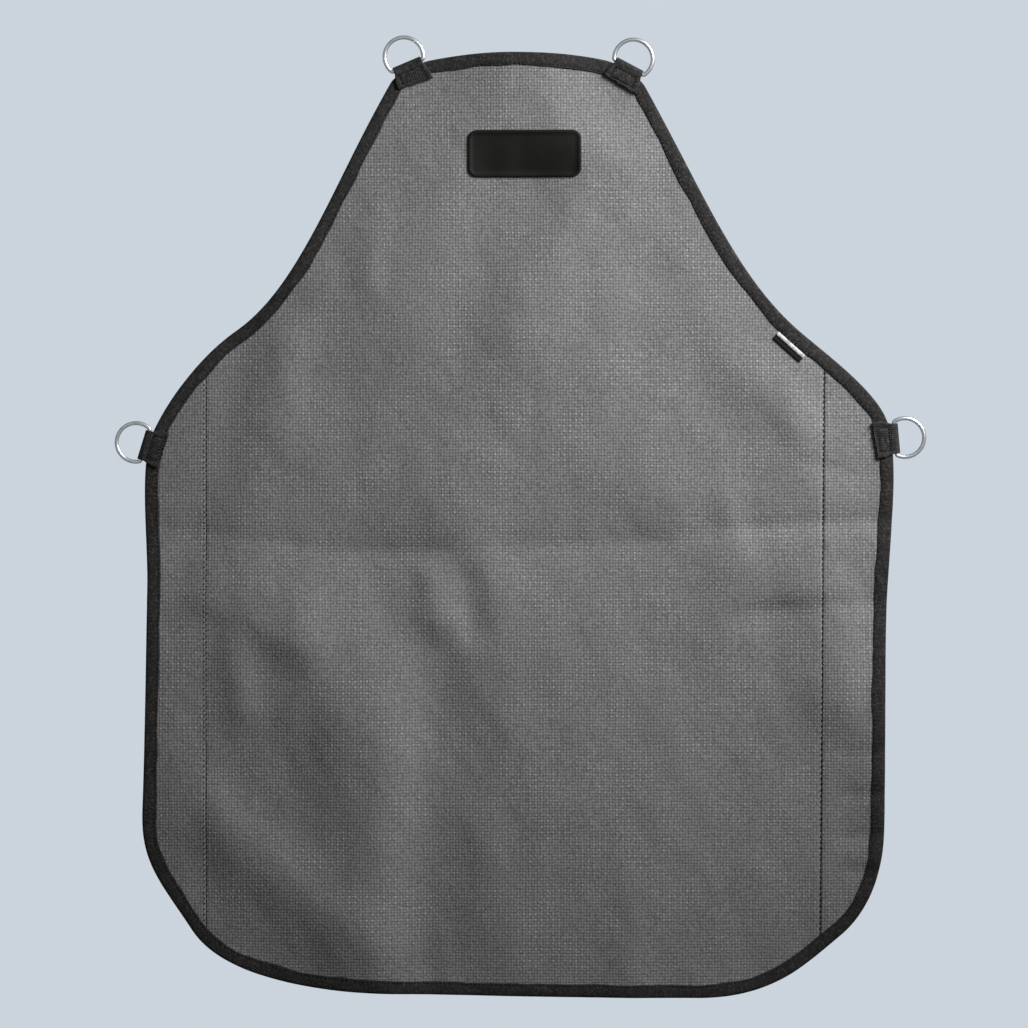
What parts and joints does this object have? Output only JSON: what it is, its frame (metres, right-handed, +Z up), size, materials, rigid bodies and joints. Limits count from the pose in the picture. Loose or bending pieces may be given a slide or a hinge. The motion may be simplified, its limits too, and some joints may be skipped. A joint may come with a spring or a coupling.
{
  "type": "work apron",
  "caption": "Bib-shaped cut-resistant work apron of plate-covered cloth, bound all round, with swinging D-rings on webbing tabs for its neck and waist straps.",
  "frame": {"origin": "midway between the two neck rings, in the middle of the cloth's thickness", "axes": "+Z up as the apron hangs, -Y the way the apron's front faces, +X to the right of someone facing it"},
  "size_m": [0.6598, 0.0067, 0.7826],
  "materials": {
    "plate_cloth": "matte",
    "binding_tape": "matte",
    "webbing": "matte",
    "thread": "satin",
    "ring_chrome": "polished",
    "patch_rubber": "matte",
    "label_cloth": "satin"
  },
  "bodies": {
    "apron": {"main_panel": "plate_cloth", "left_side_panel": "plate_cloth", "right_side_panel": "plate_cloth", "top_binding": "binding_tape", "left_armhole_binding": "binding_tape", "right_armhole_binding": "binding_tape", "skirt_binding": "binding_tape", "top_binding_stitch": "thread", "left_armhole_binding_stitch": "thread", "right_armhole_binding_stitch": "thread", "skirt_binding_stitch": "thread", "left_seam_stitch": "thread", "right_seam_stitch": "thread", "chest_patch": "patch_rubber", "side_label": "label_cloth", "neck_left_tab": "webbing", "neck_left_tab_stitch": "thread", "neck_right_tab": "webbing", "neck_right_tab_stitch": "thread", "waist_left_tab": "webbing", "waist_left_tab_stitch": "thread", "waist_right_tab": "webbing", "waist_right_tab_stitch": "thread"},
    "neck_left_ring": {"neck_left_ring": "ring_chrome"},
    "neck_right_ring": {"neck_right_ring": "ring_chrome"},
    "waist_left_ring": {"waist_left_ring": "ring_chrome"},
    "waist_right_ring": {"waist_right_ring": "ring_chrome"}
  },
  "joints": [
    {"name": "neck_left_ring_swing", "type": "hinge", "parent": "apron", "child": "neck_left_ring", "pos_m": [-0.0902, 0, -0.0059], "axis": [0.9205, 0, 0.3907], "range_deg": [-120, 120]},
    {"name": "neck_right_ring_swing", "type": "hinge", "parent": "apron", "child": "neck_right_ring", "pos_m": [0.0897, 0, -0.0074], "axis": [0.8829, 0, -0.4695], "range_deg": [-120, 120]},
    {"name": "waist_left_ring_swing", "type": "hinge", "parent": "apron", "child": "waist_left_ring", "pos_m": [-0.3036, 0, -0.3146], "axis": [0.2924, 0, 0.9563], "range_deg": [-120, 120]},
    {"name": "waist_right_ring_swing", "type": "hinge", "parent": "apron", "child": "waist_right_ring", "pos_m": [0.3063, 0, -0.3091], "axis": [0.0872, 0, -0.9962], "range_deg": [-120, 120]}
  ]
}
